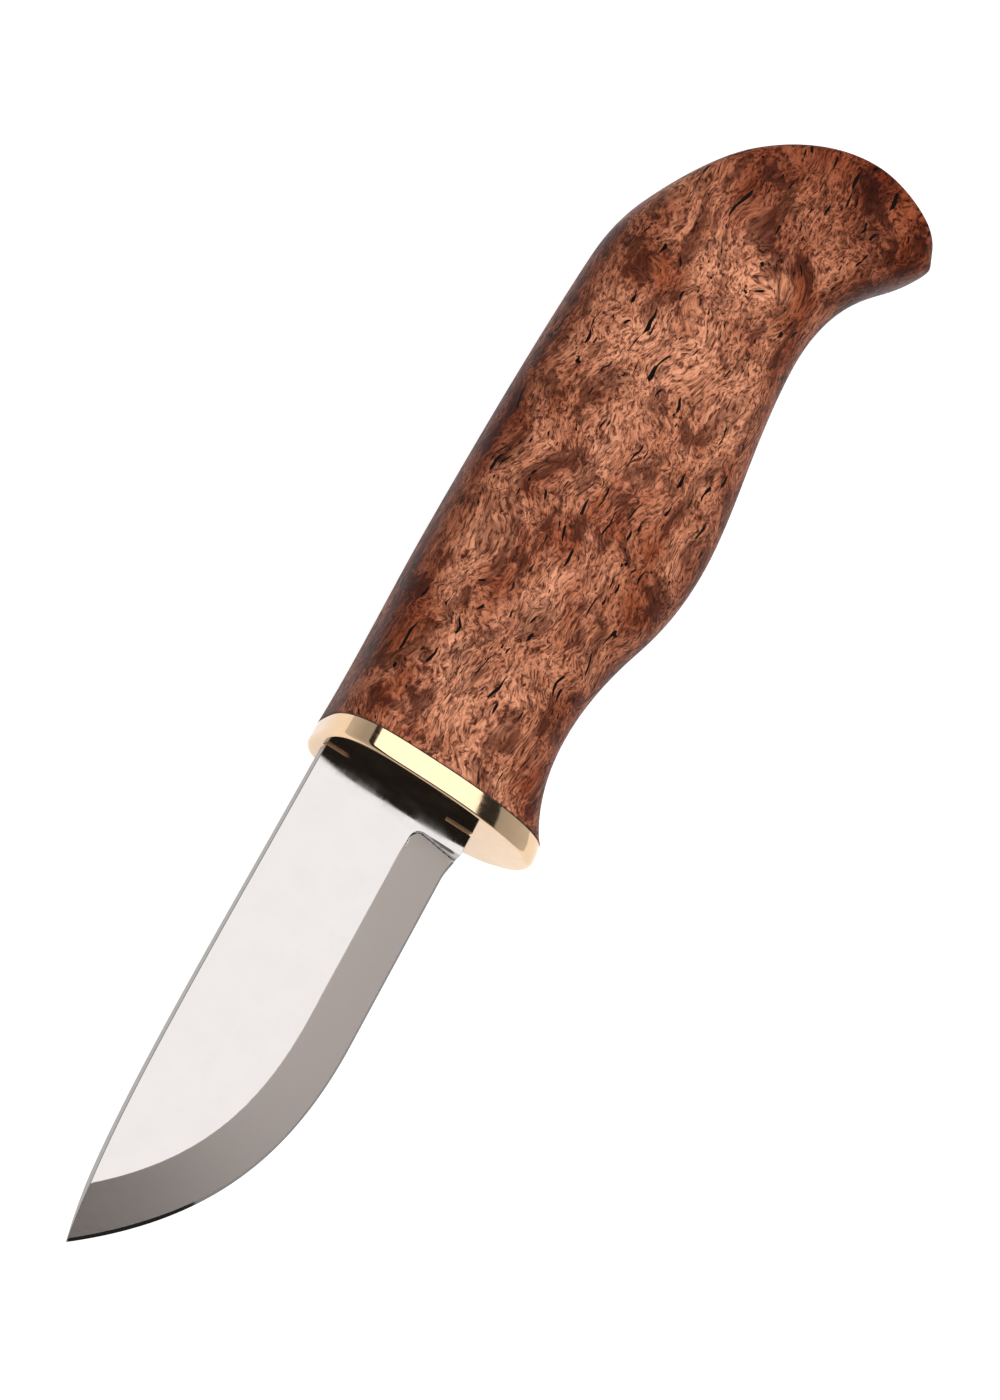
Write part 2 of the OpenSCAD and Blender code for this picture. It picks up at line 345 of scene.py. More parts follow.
def polished_brass(colour_):
    # Brass, buffed: a warm mirror with soft buffing haze and fine handling scratches.
    material, tree, shader, mm = fresh_material("brass_polished")
    haze = node(tree, "ShaderNodeTexNoise", {"Vector": mm, "Scale": 0.5, "Detail": 4, "Roughness": 0.6})
    fine = node(tree, "ShaderNodeVectorMath", {0: mm, 1: (3.0, 0.35, 0.35)}, operation="MULTIPLY")
    scratch = node(tree, "ShaderNodeTexNoise", {"Vector": fine.outputs[0], "Scale": 2.0, "Detail": 3})
    tone = node(tree, "ShaderNodeMapRange", {"Value": haze.outputs[0], "From Min": 0.3, "From Max": 0.7,
                                             "To Min": 0.93, "To Max": 1.0})
    tint = node(tree, "ShaderNodeMix", {0: 1.0, 6: colour_, 7: tone.outputs[0]},
                data_type="RGBA", blend_type="MULTIPLY")
    gloss = node(tree, "ShaderNodeMapRange", {"Value": scratch.outputs[0], "From Min": 0.3, "From Max": 0.75,
                                              "To Min": 0.05, "To Max": 0.12})
    tree.links.new(tint.outputs[2], shader.inputs["Base Color"])
    tree.links.new(gloss.outputs[0], shader.inputs["Roughness"])
    shader.inputs["Metallic"].default_value = 1.0
    return material


def curly_birch(wood):
    # Curly birch, stained and oiled: swirling fibre bundles 0.4 to 0.6 mm wide that flash copper,
    # dark stained patches of 3 to 8 mm, and short black bark flecks; the oil is rubbed in and wiped
    # off, which leaves hardly any shine.
    material, tree, shader, mm = fresh_material("curly_birch_oiled")
    times = {"operation": "MULTIPLY"}
    rgba = {"data_type": "RGBA"}
    tint = {"data_type": "RGBA", "blend_type": "MULTIPLY"}

    def swirled(vector, scale, amount, detail):
        """Coordinates pushed about by noise, by up to half of amount each way."""
        swirl = node(tree, "ShaderNodeTexNoise", {"Vector": vector, "Scale": scale, "Detail": detail})
        centred = node(tree, "ShaderNodeVectorMath", {0: swirl.outputs["Color"], 1: (0.5, 0.5, 0.5)},
                       operation="SUBTRACT")
        moved = node(tree, "ShaderNodeVectorMath", {0: centred.outputs[0], 1: (amount,) * 3, 2: vector},
                     operation="MULTIPLY_ADD")
        return moved.outputs[0]

    def figure(vector, pull, scale, detail, rough, low, high):
        """One layer of the figure, from 0 to 1, with features 1 / scale mm wide and drawn out along x."""
        pulled = node(tree, "ShaderNodeVectorMath", {0: vector, 1: (pull, 1, 1)}, **times)
        grain = node(tree, "ShaderNodeTexNoise", {"Vector": pulled.outputs[0], "Scale": scale,
                                                  "Detail": detail, "Roughness": rough})
        spread = node(tree, "ShaderNodeMapRange", {"Value": grain.outputs[0], "From Min": low,
                                                   "From Max": high})
        return spread.outputs[0]

    broad = swirled(mm, 0.07, 9.0, 1.0)
    curl = swirled(swirled(broad, 0.28, 2.4, 2.0), 0.85, 0.6, 1.0)
    fibre = figure(curl, 0.32, 1.9, 3, 0.65, 0.4, 0.6)
    thread = figure(curl, 0.28, 4.0, 2, 0.5, 0.4, 0.62)
    patch = figure(curl, 0.55, 0.3, 4, 0.6, 0.5, 0.57)
    glow = figure(broad, 0.5, 0.14, 3, 0.55, 0.36, 0.62)
    fleck = figure(swirled(broad, 0.5, 0.9, 0.0), 0.13, 1.35, 0, 0.5, 0.745, 0.77)
    speck = figure(curl, 0.55, 2.4, 1, 0.5, 0.58, 0.67)
    # Veins are thin contour lines of a slow layer
    vein = figure(curl, 0.22, 0.55, 2, 0.5, 0.0, 1.0)
    vein = node(tree, "ShaderNodeMath", {0: vein, 1: 0.6, 2: 0.007}, operation="COMPARE").outputs[0]

    # Painted shade: the round sides, which turn away from the light above, are darker and redder, with less
    # flame; the wood also turns darker and redder towards the butt
    place = node(tree, "ShaderNodeSeparateXYZ", {0: swirled(mm, 0.2, 6.0, 2.0)}).outputs
    from_middle = node(tree, "ShaderNodeMath", {0: place["Z"], 1: (WOOD_LO.z + WOOD_HI.z) / 2 / MM},
                       operation="SUBTRACT").outputs[0]
    from_middle = node(tree, "ShaderNodeMath", {0: from_middle}, operation="ABSOLUTE").outputs[0]
    side = node(tree, "ShaderNodeMapRange", {"Value": from_middle, "From Min": 10.5,
                                             "From Max": 3.5}).outputs[0]
    butt = node(tree, "ShaderNodeMapRange", {"Value": place["X"], "From Min": WOOD_HI.x / MM - 24,
                                             "From Max": WOOD_HI.x / MM - 3}).outputs[0]
    # Masks for the painted shade along the sides and for the darkening towards the butt
    side_shade = node(tree, "ShaderNodeMath", {0: side, 1: 0.75}, **times).outputs[0]
    butt_darkening = node(tree, "ShaderNodeMath", {0: butt, 1: 0.85}, **times).outputs[0]
    side_shade_and_butt = node(tree, "ShaderNodeMath", {0: side_shade, 1: butt_darkening}, operation="MAXIMUM").outputs[0]
    deeper_butt = node(tree, "ShaderNodeMath", {0: butt, 1: 0.35}, **times).outputs[0]

    # Strands run from the dark wood to the plain wood, and to the flame where the figure glows
    fine = node(tree, "ShaderNodeMath", {0: thread, 1: 0.55}, **times).outputs[0]
    strand = node(tree, "ShaderNodeMath", {0: fibre, 1: fine}, operation="ADD").outputs[0]
    strand = node(tree, "ShaderNodeMath", {0: strand, 1: 0.7}, **times).outputs[0]
    flame = node(tree, "ShaderNodeMath", {0: strand, 1: glow}, **times).outputs[0]
    patch_share = node(tree, "ShaderNodeMapRange", {"Value": glow, "To Min": 0.9, "To Max": 0.45}).outputs[0]
    shade = node(tree, "ShaderNodeMath", {0: patch, 1: patch_share}, **times).outputs[0]
    dots = node(tree, "ShaderNodeMath", {0: speck, 1: 0.75}, **times).outputs[0]
    tone = node(tree, "ShaderNodeMix", {0: strand, 6: wood.dark_colour, 7: wood.wood_colour}, **rgba)
    tone = node(tree, "ShaderNodeMix", {0: flame, 6: tone.outputs[2], 7: wood.flame_colour}, **rgba)
    tone = node(tree, "ShaderNodeMix", {0: shade, 6: tone.outputs[2], 7: wood.dark_colour}, **rgba)
    tone = node(tree, "ShaderNodeMix", {0: dots, 6: tone.outputs[2], 7: wood.dark_colour}, **rgba)
    # The painted side shade and the darker butt tint the colour
    tone = node(tree, "ShaderNodeMix", {0: side_shade_and_butt, 6: tone.outputs[2], 7: wood.side_shade_and_butt_colour}, **tint)
    tone = node(tree, "ShaderNodeMix", {0: deeper_butt, 6: tone.outputs[2], 7: wood.side_shade_and_butt_colour}, **tint)

    # Bark flecks and the veins that cross the dark patches, both a little below the surface
    vein = node(tree, "ShaderNodeMath", {0: vein, 1: patch}, **times).outputs[0]
    vein = node(tree, "ShaderNodeMath", {0: vein, 1: 0.8}, **times).outputs[0]
    mark = node(tree, "ShaderNodeMath", {0: fleck, 1: vein}, operation="MAXIMUM").outputs[0]
    tone = node(tree, "ShaderNodeMix", {0: mark, 6: tone.outputs[2], 7: wood.fleck_colour}, **rgba)
    sunk = node(tree, "ShaderNodeMath", {0: mark, 1: 2.0}, **times).outputs[0]
    height = node(tree, "ShaderNodeMath", {0: strand, 1: sunk}, operation="SUBTRACT")
    bump = node(tree, "ShaderNodeBump", {"Height": height.outputs[0], "Strength": 0.25,
                                         "Distance": 0.00005})
    gloss = node(tree, "ShaderNodeMapRange", {"Value": strand, "To Min": 0.5, "To Max": 0.36})
    tree.links.new(tone.outputs[2], shader.inputs["Base Color"])
    tree.links.new(gloss.outputs[0], shader.inputs["Roughness"])
    tree.links.new(bump.outputs[0], shader.inputs["Normal"])
    shader.inputs["IOR"].default_value = 1.5
    shader.inputs["Specular IOR Level"].default_value = 0.04
    return material


def cured_glue(colour_):
    # Epoxy glue, cured and sanded flush: a dull dark line between brass and wood.
    material, tree, shader, mm = fresh_material("epoxy_glue_cured")
    speck = node(tree, "ShaderNodeTexNoise", {"Vector": mm, "Scale": 3.0, "Detail": 2})
    tone = node(tree, "ShaderNodeMapRange", {"Value": speck.outputs[0], "To Min": 0.7, "To Max": 1.2})
    tint = node(tree, "ShaderNodeMix", {0: 1.0, 6: colour_, 7: tone.outputs[0]},
                data_type="RGBA", blend_type="MULTIPLY")
    tree.links.new(tint.outputs[2], shader.inputs["Base Color"])
    shader.inputs["Roughness"].default_value = 0.55
    shader.inputs["IOR"].default_value = 1.55
    return material


# ---- Blade ----

BACK_Y = 11.4           # back of the blade at the bolster
EDGE_Y = -11.8          # lowest line of the edge
STEP_X, STEP_LEN = -3.3, 4.2        # where the unground stretch ends, and the run of its step
STEP_LIFT = 0.3         # the step ends this far above the edge's line
PLUNGE_R = 1.8          # corner that the grinding wheel leaves
BELLY_X = -34.0         # where the edge starts to curve up to the point
HONE_HALF = 0.1         # half the thickness behind the honed edge
EDGE_HALF = 0.006       # half the thickness of the edge itself
EASED = 0.08            # broken corner along the back
POLISHED, SATIN, LINISHED = 0, 1, 2     # the blade's finishes, in the order of its materials
TANG_HALF_T = 1.15
TANG_END = (STEEL_HI.x - BRASS_LO.x) / MM
TANG_PLAN = [(0.0, 7.5), (3.2, 7.5), (TANG_END - 2, 3.5), (TANG_END, 1.5)]
STAND_OFF = 0.25        # hair gap between the shoulders and the brass, beside the tang


def blade_curves(reach):
    back = [[0, BACK_Y], [-35, 11.2], [-60, 11.9], [-reach, 8.6]]
    step = [[STEP_X, -STEP_Y], [STEP_X - 1.4, -STEP_Y], [STEP_X - 2.6, EDGE_Y + 0.35],
            [STEP_X - STEP_LEN, EDGE_Y + STEP_LIFT]]
    belly = [[BELLY_X, EDGE_Y], [-51.5, EDGE_Y], [-64, -5.9], [-reach, 8.6]]
    t = np.linspace(0, 1, 240)[:, None]
    return bezier(back, t), bezier(step, t), bezier(belly, t)


def distance_to(line, x, y):
    """Shortest distance from each point to a line of points."""
    a, d = line[:-1], np.diff(line, axis=0)
    p = np.column_stack([x, y])
    best = np.full(len(p), 1e9)
    size = (d ** 2).sum(1)
    for (ax, ay), (dx, dy), s in zip(a, d, size):
        t = np.clip(((p[:, 0] - ax) * dx + (p[:, 1] - ay) * dy) / s, 0, 1)
        best = np.minimum(best, np.hypot(p[:, 0] - ax - t * dx, p[:, 1] - ay - t * dy))
    return best


def build_blade(size):
    reach, half_t = size.reach / MM, size.thickness / MM / 2
    bevel_w = size.bevel / MM
    back, step, belly = blade_curves(reach)
    edge_line = np.concatenate([step[::24], step[-1:], belly[::3], belly[-1:]])
    slope = (half_t - HONE_HALF) / bevel_w

    x = np.concatenate([
        [0, -0.06, -0.12, -0.2, -0.8, -1.6, -2.4, -3.0], np.arange(-3.2, -6.4, -0.08),
        np.arange(-6.5, -12, -0.5), np.arange(-12, -34, -1.0), np.arange(-34, -64, -0.6),
        np.arange(-64, -reach + 0.1, -0.25), [-reach + 0.1, -reach + 0.03]])
    full_edge = np.concatenate([[[1.0, -STEP_Y]], step, belly])
    top_y = np.interp(-x, -back[:, 0], back[:, 1])
    edge_y = np.interp(-x, -full_edge[:, 0], full_edge[:, 1])

    # Row of the bevel's upper line in each column
    trial = np.linspace(0, 1, 400)
    shoulder_y = np.empty(len(x))
    for k, (xx, yt, ye) in enumerate(zip(x, top_y, edge_y)):
        ys = mix(ye, yt, trial)
        away = ys - (EDGE_Y + STEP_LIFT)
        if xx < STEP_X - STEP_LEN:
            away = distance_to(edge_line, np.full(len(ys), xx), ys)
        reached = np.nonzero(away >= bevel_w)[0]
        shoulder_y[k] = ys[reached[0]] if len(reached) else yt
    flat_rows, bevel_rows = 30, 64
    down_flat = np.linspace(0, 1, flat_rows + 1)
    down_bevel = np.linspace(0, 1, bevel_rows + 1)[1:]
    y_flat = mix((top_y - EASED)[:, None], np.minimum(shoulder_y, top_y - EASED)[:, None], down_flat[None, :])
    # The honed edge widens to honed_tip towards the point
    honed_tip = 0.75
    honed = mix(size.honed / MM, honed_tip, smooth((-x - 52) / 20))
    on_step = x > STEP_X - 1.0
    y_low = np.where(on_step, edge_y + 0.1, edge_y + honed)
    y_bev = mix(y_flat[:, -1:], np.minimum(y_low, y_flat[:, -1])[:, None], down_bevel[None, :])
    y = np.concatenate([top_y[:, None], y_flat, y_bev, edge_y[:, None]], axis=1)
    rows = y.shape[1]
    grid_x = np.repeat(x[:, None], rows, axis=1)

    away = distance_to(edge_line, grid_x.ravel(), y.ravel()).reshape(y.shape)
    near_step = grid_x > STEP_X - STEP_LEN
    away = np.where(near_step, np.maximum(y - EDGE_Y - STEP_LIFT, 0), away)
    ground = np.minimum(HONE_HALF + slope * away, half_t)
    # Fillet that the grinding wheel leaves beside the bolster: tight at the top, wider at the edge
    corner = np.array([STEP_X - PLUNGE_R, EDGE_Y + STEP_LIFT + bevel_w - PLUNGE_R])
    qx, qy = grid_x - corner[0], y - corner[1]
    outside = np.hypot(np.maximum(qx, 0), np.maximum(qy, 0)) + np.minimum(np.maximum(qx, qy), 0) - PLUNGE_R
    depth = half_t - ground
    fillet = 0.25 + 0.6 * depth / (half_t - HONE_HALF)
    rise = np.clip(1 + outside / fillet, 0, 1) ** 2
    z = np.where((qx > -PLUNGE_R) & (outside > -fillet), ground + depth * rise, ground)
    z = np.where(outside >= 0, np.where(qx > 0, half_t, z), z)
    # Honed edge and broken corners
    z[:, -1] = np.where(on_step, np.maximum(z[:, -2] - 0.1, EDGE_HALF), EDGE_HALF)
    z[:, 0] = z[:, 1] - EASED
    # The shoulders beside the tang stand off the brass by a hair, with their corners broken
    beside = np.abs(y[0]) > TANG_PLAN[0][1] + 0.3
    gap_x = np.where(grid_x > -0.21, grid_x * 0.3 - STAND_OFF, grid_x)
    z = np.where(beside[None, :], z - np.clip(grid_x + 0.2, 0, 0.2) * 0.3, z)
    grid_x = np.where(beside[None, :], np.minimum(gap_x, grid_x), grid_x)

    cols = len(x)
    front = np.stack([grid_x, y, z], -1).reshape(-1, 3)
    rear = front * [1, 1, -1]
    points = [front, rear]
    n = len(front)
    faces, finish = [], []

    def at(k, r, side=0):
        return side * n + k * rows + r

    bevel_start = flat_rows + 1
    for k in range(cols - 1):
        for r in range(rows - 1):
            mid_x = (x[k] + x[k + 1]) / 2
            surface = POLISHED
            if r >= bevel_start and mid_x < STEP_X:
                in_fillet = x[k] > corner[0] - 1 and outside[k + 1, r] > -fillet[k + 1, r]
                surface = POLISHED if in_fillet else SATIN
            if r == 0:
                surface = LINISHED
            if r == rows - 2:
                surface = POLISHED
            faces.append((at(k, r), at(k, r + 1), at(k + 1, r + 1), at(k + 1, r)))
            faces.append((at(k, r, 1), at(k + 1, r, 1), at(k + 1, r + 1, 1), at(k, r + 1, 1)))
            finish += [surface, surface]
        faces.append((at(k, 0), at(k + 1, 0), at(k + 1, 0, 1), at(k, 0, 1)))
        faces.append((at(k, rows - 1), at(k, rows - 1, 1), at(k + 1, rows - 1, 1), at(k + 1, rows - 1)))
        finish += [LINISHED, SATIN]
    # The point
    last = cols - 1
    for r in range(rows - 1):
        faces.append((at(last, r), at(last, r + 1), at(last, r + 1, 1), at(last, r, 1)))
        finish.append(SATIN)
    # The root: shoulders on the brass, and the tang from the rows between them
    r0 = int(np.argmin(np.abs(y[0] - TANG_PLAN[0][1])))
    r1 = int(np.argmin(np.abs(y[0] + TANG_PLAN[0][1])))
    share = (y[0, r0:r1 + 1] - y[0, r0]) / (y[0, r1] - y[0, r0])
    tang, width = [], r1 - r0 + 1
    for tx, half in TANG_PLAN:
        ty = mix(half, -half, share) if tx else y[0, r0:r1 + 1]
        tang.append(np.column_stack([np.full(width, tx), ty, np.full(width, TANG_HALF_T)]))
    tang = np.concatenate(tang)
    base = 2 * n
    points += [tang, tang * [1, 1, -1]]
    tn = len(tang)

    def tang_at(k, r, side=0):
        return base + side * tn + k * width + (r - r0)

    for r in range(rows - 1):
        if r0 <= r < r1:
            faces.append((at(0, r), tang_at(0, r), tang_at(0, r + 1), at(0, r + 1)))
            faces.append((at(0, r, 1), at(0, r + 1, 1), tang_at(0, r + 1, 1), tang_at(0, r, 1)))
            finish += [SATIN, SATIN]
            for k in range(len(TANG_PLAN) - 1):
                faces.append((tang_at(k, r), tang_at(k + 1, r), tang_at(k + 1, r + 1), tang_at(k, r + 1)))
                faces.append((tang_at(k, r, 1), tang_at(k, r + 1, 1),
                              tang_at(k + 1, r + 1, 1), tang_at(k + 1, r, 1)))
                finish += [SATIN, SATIN]
            end = len(TANG_PLAN) - 1
            faces.append((tang_at(end, r), tang_at(end, r, 1), tang_at(end, r + 1, 1), tang_at(end, r + 1)))
            finish.append(SATIN)
        else:
            ring = [at(0, r), at(0, r + 1), at(0, r + 1, 1), at(0, r, 1)]
            if r + 1 == r0:
                ring = [at(0, r), at(0, r0), tang_at(0, r0), tang_at(0, r0, 1), at(0, r0, 1), at(0, r, 1)]
            if r == r1:
                ring = [at(0, r1), at(0, r + 1), at(0, r + 1, 1), at(0, r1, 1), tang_at(0, r1, 1),
                        tang_at(0, r1)]
            faces.append(tuple(ring))
            finish.append(SATIN)
    for k in range(len(TANG_PLAN) - 1):
        faces.append((tang_at(k, r0), tang_at(k, r0, 1), tang_at(k + 1, r0, 1), tang_at(k + 1, r0)))
        faces.append((tang_at(k, r1), tang_at(k + 1, r1), tang_at(k + 1, r1, 1), tang_at(k, r1, 1)))
        finish += [SATIN, SATIN]
    return np.concatenate(points), faces, finish


class KNIFE_OT_blade(bpy.types.Operator):
    """Builds the ground steel blade with its tang"""
    bl_idname = "knife.blade"
    bl_label = "Blade"
    bl_options = {"REGISTER", "UNDO"}

    def execute(self, context):
        size = context.scene.knife_blade
        points, faces, finish = build_blade(size)
        finishes = [polished_steel(size.flat_colour),
                    satin_steel("stainless_steel_satin_ground", size.bevel_colour),
                    # The back: the satin finish again, with a darker colour as painted shade
                    satin_steel("stainless_steel_linished_shaded", size.shaded_back_colour)]
        piece = fresh_piece("ground_blade", points, faces, finishes, finish)
        finish_mesh(piece, 0.004, 6)
        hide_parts("blade")
        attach(piece, "root")
        return {"FINISHED"}


# ---- Bolster ----

class KNIFE_OT_bolster(bpy.types.Operator):
    """Builds the brass bolster plate with its finger stop and slot"""
    bl_idname = "knife.bolster"
    bl_label = "Bolster"
    bl_options = {"REGISTER", "UNDO"}

    def execute(self, context):
        size = context.scene.knife_bolster
        thick = size.thickness / MM
        wide, narrow = front_ring(0, GUARD_Y - GUARD_FLARE), front_ring(0, GUARD_Y)
        # Outward direction at each point of the outline
        ahead, behind = np.roll(wide, -1, axis=0), np.roll(wide, 1, axis=0)
        run = ahead - behind
        out = np.column_stack([np.zeros(len(run)), run[:, 2], -run[:, 1]])
        out /= np.linalg.norm(out, axis=1)[:, None]
        # The polished front edge: broad round the back and at the finger stop, crisp between them
        edge_r = 0.2 + 0.15 * smooth((wide[:, 1] + 17) / 10) + 0.55 * smooth((wide[:, 1] - 4) / 6)
        edge_r += 0.7 * smooth((-16.5 - wide[:, 1]) / 3.5)
        flare_run = 1.8         # the side flares over this much of the thickness, then runs straight
        rings = []
        for x in np.linspace(thick, edge_r.max(), 9):
            ring = mix(narrow, wide, math.sin(min(1, (thick - x) / flare_run) * math.pi / 2))
            ring[:, 0] = x
            rings.append(ring)
        for a in np.linspace(0, np.pi / 2, 13):
            x = edge_r * (1 - math.sin(a))
            ring = wide - out * (edge_r * (1 - math.cos(a)))[:, None]
            ring[:, 0] = x
            rings.append(ring)
        count = len(wide)
        half_y, half_z = TANG_PLAN[0][1], TANG_HALF_T
        rings.append(slot_ring(0, half_y, half_z, count))
        rings.append(slot_ring(thick, half_y, half_z, count))
        points, faces = loft(rings, around=True)
        piece = fresh_piece("brass_bolster", points, faces, [polished_brass(size.brass_colour)])
        finish_mesh(piece, 0.002, 40)
        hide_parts("bolster")
        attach(piece, "root")
        return {"FINISHED"}


# ---- Handle ----

def handle_outlines(end):
    wood_x = (BRASS_HI.x - BRASS_LO.x) / MM + GLUE_FILM
    upper = [
        [[wood_x, CROWN_Y], [13, 12.6], [24, 13.5], [34, 13.5]],
        [[34, 13.5], [50, 13.5], [66, 13.25], [80, 12.4]],
        [[80, 12.4], [97.2, 11.35], [end, -3.5], [end, -14.5]],
        [[end, -14.5], [end, -19.5], [end - 2.1, -26.7], [104.1, -28.1]],
    ]
    groove = [[wood_x, GUARD_Y], [9.5, -16.5], [20, -15], [34, -19.9]]
    swell = [[34, -19.9], [50.5, -25.7], [61.5, -20.1], [80, -19.6]]
    under = [[80, -19.6], [93.5, -19.25], [97.4, -25.5], [102.8, -29.1]]
    share = 0.6

    def lower(t):
        if t < 1:
            return bezier(groove, t)
        if t < 2:
            return bezier(swell, t - 1)
        if t < 3:
            return bezier(under, (t - 2) * share)
        return bezier(under, share + (t - 3) * (1 - share))

    return lambda t: bezier(upper[min(int(t), 3)], t - min(int(t), 3)), lower


class KNIFE_OT_handle(bpy.types.Operator):
    """Builds the hooked curly birch handle with the pocket for the tang"""
    bl_idname = "knife.handle"
    bl_label = "Handle"
    bl_options = {"REGISTER", "UNDO"}

    def execute(self, context):
        size = context.scene.knife_handle
        upper, lower = handle_outlines(size.end / MM)
        full = size.half_width / MM
        hook_half, tip_half = 11, 8.5
        tip_round = 3.2         # radius of the rounding towards the hook's tip
        tip = (upper(4) + lower(4)) / 2
        rings = []
        for t in np.linspace(0, 4, 197):
            top, low = upper(t), lower(t)
            half_w = along([FRONT_HALF, full - 0.3, full, hook_half, tip_half], t)
            to_tip = np.linalg.norm((top + low) / 2 - tip)
            if t > 3 and to_tip < tip_round:
                half_w -= tip_round - math.sqrt(max(0, tip_round ** 2 - (tip_round - to_tip) ** 2))
            round_up = along(ROUND_UP, t) if t < 2 else mix(ROUND_UP[-1], BUTT_ROUND_UP, smooth((t - 2) * 2))
            half = half_section(top, low, half_w, along(RIDGE, t), round_up, along(ROUND_LOW, t))
            rings.append(whole_section(half))
        count = len(rings[0])
        wood_x = rings[0][0, 0]
        # The wood's front edge, eased a hair so that the joint shows
        ease = 0.1
        eased = front_ring(wood_x, GUARD_Y, ease)
        rings[0] = front_ring(wood_x + ease)
        half_z = TANG_HALF_T + GLUE_GAP
        mouth_half, end_half = 8.0, 4.0
        ends = [(wood_x, mouth_half), (TANG_END + GLUE_GAP, end_half)]
        pocket = [slot_ring(x, half_y, half_z, count) for x, half_y in ends]
        points, faces = loft([pocket[1], pocket[0], eased] + rings)
        piece = fresh_piece("curly_birch_handle", points, faces, [curly_birch(size)])
        finish_mesh(piece, 0.002, 50)
        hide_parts("handle")
        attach(piece, "root")
        return {"FINISHED"}


class KNIFE_OT_glue(bpy.types.Operator):
    """Gives the glue line its finish"""
    bl_idname = "knife.glue"
    bl_label = "Glue"
    bl_options = {"REGISTER", "UNDO"}

    def execute(self, context):
        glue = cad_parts["epoxy"]
        glue.data.materials.clear()
        glue.data.materials.append(cured_glue(context.scene.knife_handle.glue_colour))
        return {"FINISHED"}


# ---- Stage ----

# The camera's turn towards the point, its tilt towards the back and its roll, in degrees
CAMERA_TURN, CAMERA_TILT, CAMERA_ROLL = 17, 12, 60.8
CAMERA_FOCAL, CAMERA_SENSOR = 153.98, 36
CAMERA_DISTANCE = 0.8077
CAMERA_AIM = (18.452, -6.591, 0)    # mm from ZERO
FLOOR_HALF = 3.0
FLOOR_GAP = 0.0002                  # keeps the floor clear of the knife
LIGHT_PLACE = (0.37, -0.15, 1.0)
LIGHT_SIZE = (0.78, 0.98)
HOOD_Z = 1.02


def soft_box(name, place, size, radiance):
    """A rectangular soft light of a given brightness that shines straight down."""
    lamp = bpy.data.lights.new(name, "AREA")
    lamp.shape = "RECTANGLE"
    lamp.size, lamp.size_y = size
    lamp.energy = 4 * radiance * size[0] * size[1]
    holder = bpy.data.objects.new(name, lamp)
    holder.visible_camera = False
    bpy.context.scene.collection.objects.link(holder)
    down = Vector((0, 0, -1))
    holder.matrix_world = Matrix.Translation(place) @ down.to_track_quat("-Z", "Y").to_matrix().to_4x4()


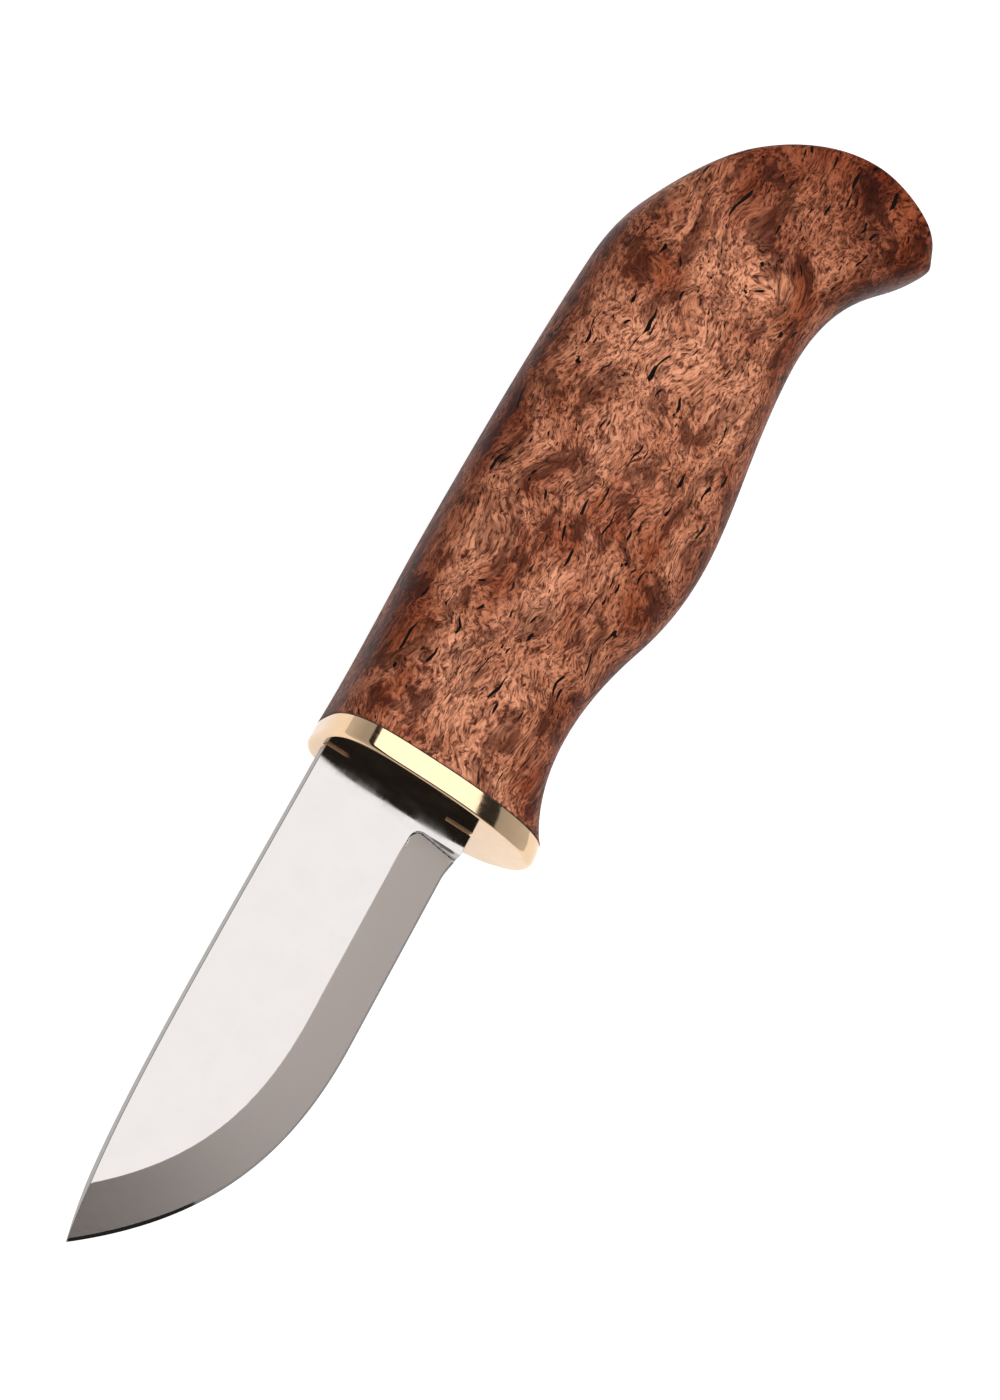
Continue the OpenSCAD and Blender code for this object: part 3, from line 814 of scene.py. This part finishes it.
class KNIFE_OT_stage(bpy.types.Operator):
    """Sets the floor, the soft lights and the camera"""
    bl_idname = "knife.stage"
    bl_label = "Stage"
    bl_options = {"REGISTER", "UNDO"}

    def execute(self, context):
        scene, stage = context.scene, context.scene.knife_stage

        # Camera: above the blade's side, turned a little towards the point and the back of the blade
        turn, tilt, roll = (math.radians(a) for a in (CAMERA_TURN, CAMERA_TILT, CAMERA_ROLL))
        towards = Vector((-math.sin(turn), math.sin(tilt) * math.cos(turn), math.cos(turn) * math.cos(tilt)))
        along_x = Vector((1, 0, 0)) - towards * towards.x
        along_x.normalize()
        across = towards.cross(along_x)
        right = along_x * math.cos(roll) - across * math.sin(roll)
        up = along_x * math.sin(roll) + across * math.cos(roll)
        lens = bpy.data.cameras.new("camera")
        lens.sensor_fit = "AUTO"
        lens.sensor_width = CAMERA_SENSOR
        lens.lens = CAMERA_FOCAL
        lens.clip_start, lens.clip_end = 0.05, 50
        camera = bpy.data.objects.new("camera", lens)
        scene.collection.objects.link(camera)
        aim = Vector(ZERO) + Vector(CAMERA_AIM) * MM
        place = aim + towards * CAMERA_DISTANCE
        rotation = Matrix((right, up, towards)).transposed().to_4x4()
        camera.matrix_world = Matrix.Translation(place) @ rotation
        scene.camera = camera

        # Floor: a large sheet of card that glows a little, so that shadows stay faint
        floor = bpy.data.meshes.new("floor")
        half = FLOOR_HALF
        floor.from_pydata([(-half, -half, 0), (half, -half, 0), (half, half, 0), (-half, half, 0)],
                          [], [(0, 1, 2, 3)])
        sheet = bpy.data.objects.new("floor", floor)
        sheet.location.z = CAD_BOX[0][2] - FLOOR_GAP
        scene.collection.objects.link(sheet)
        # White card, matt: an even pale ground with no shine
        card, tree, shader, mm = fresh_material("card_white_matt")
        shader.inputs["Base Color"].default_value = stage.floor_colour
        shader.inputs["Roughness"].default_value = 0.8
        shader.inputs["Specular IOR Level"].default_value = 0.0
        shader.inputs["Emission Color"].default_value = linear("#FFFFFF")
        shader.inputs["Emission Strength"].default_value = 0.85
        floor.materials.append(card)
        sheet.visible_diffuse = False

        # Overhead soft light in a black felt hood, which polished metal shows as a dark rim
        soft_box("soft_light", LIGHT_PLACE, LIGHT_SIZE, stage.soft_light)
        hood = bpy.data.meshes.new("hood")
        hood.from_pydata([(-0.95, -1.05, HOOD_Z), (0.95, -1.05, HOOD_Z), (0.95, 0.55, HOOD_Z),
                          (-0.95, 0.55, HOOD_Z)], [], [(0, 1, 2, 3)])
        cover = bpy.data.objects.new("hood", hood)
        scene.collection.objects.link(cover)
        # Wool felt, pressed and dyed: swallows nearly all light
        felt, tree, shader, mm = fresh_material("felt_black")
        shader.inputs["Base Color"].default_value = linear("#272727")
        shader.inputs["Roughness"].default_value = 0.9
        hood.materials.append(felt)
        cover.visible_camera = cover.visible_diffuse = cover.visible_shadow = False

        # Room: brighter from above; polished metal mirrors an even room instead
        world = bpy.data.worlds.new("room")
        scene.world = world
        world.use_nodes = True
        tree = world.node_tree
        tree.nodes.clear()
        way = node(tree, "ShaderNodeTexCoord").outputs["Generated"]
        height = node(tree, "ShaderNodeSeparateXYZ", {0: way}).outputs["Z"]
        glow = node(tree, "ShaderNodeMapRange", {"Value": height, "From Min": 0.1, "From Max": 0.7,
                                                 "To Min": 0.75, "To Max": 0.5})
        polish = node(tree, "ShaderNodeLightPath").outputs["Is Glossy Ray"]
        soft = node(tree, "ShaderNodeMapRange", {"Value": height, "From Min": -0.1, "From Max": 0.8,
                                                 "To Min": stage.room_light * 0.25,
                                                 "To Max": stage.room_light * 1.15})
        strength = node(tree, "ShaderNodeMix", {0: polish, 2: soft.outputs[0], 3: glow.outputs[0]},
                        data_type="FLOAT")
        sky = node(tree, "ShaderNodeBackground", {"Color": (1, 1, 1, 1), "Strength": strength.outputs[0]})
        node(tree, "ShaderNodeOutputWorld", {"Surface": sky.outputs[0]})
        scene.view_settings.view_transform = "Standard"
        scene.view_settings.look = "None"
        return {"FINISHED"}


class KNIFE_PT_panel(bpy.types.Panel):
    bl_idname = "KNIFE_PT_panel"
    bl_label = "Belt knife"
    bl_space_type = "VIEW_3D"
    bl_region_type = "UI"
    bl_category = "Belt knife"

    def draw(self, context):
        for operator, group in STEPS:
            box = self.layout.box()
            box.operator(operator)
            settings = getattr(context.scene, group)
            for name in settings.bl_rna.properties.keys():
                if name not in ("rna_type", "name"):
                    box.prop(settings, name)


STEPS = (
    ("knife.blade", "knife_blade"),
    ("knife.bolster", "knife_bolster"),
    ("knife.handle", "knife_handle"),
    ("knife.glue", "knife_handle"),
    ("knife.stage", "knife_stage"),
)
GROUPS = {
    "knife_blade": BladeSettings,
    "knife_bolster": BolsterSettings,
    "knife_handle": HandleSettings,
    "knife_stage": StageSettings,
}
CLASSES = (KNIFE_OT_blade, KNIFE_OT_bolster, KNIFE_OT_handle, KNIFE_OT_glue, KNIFE_OT_stage, KNIFE_PT_panel)


def register():
    for name, group in GROUPS.items():
        bpy.utils.register_class(group)
        setattr(bpy.types.Scene, name, PointerProperty(type=group))
    for made in CLASSES:
        bpy.utils.register_class(made)


def unregister():
    for made in reversed(CLASSES):
        bpy.utils.unregister_class(made)
    for name, group in GROUPS.items():
        delattr(bpy.types.Scene, name)
        bpy.utils.unregister_class(group)


def main():
    register()
    for operator, group in STEPS:
        area, name = operator.split(".")
        getattr(getattr(bpy.ops, area), name)()


if __name__ == "__main__":
    main()
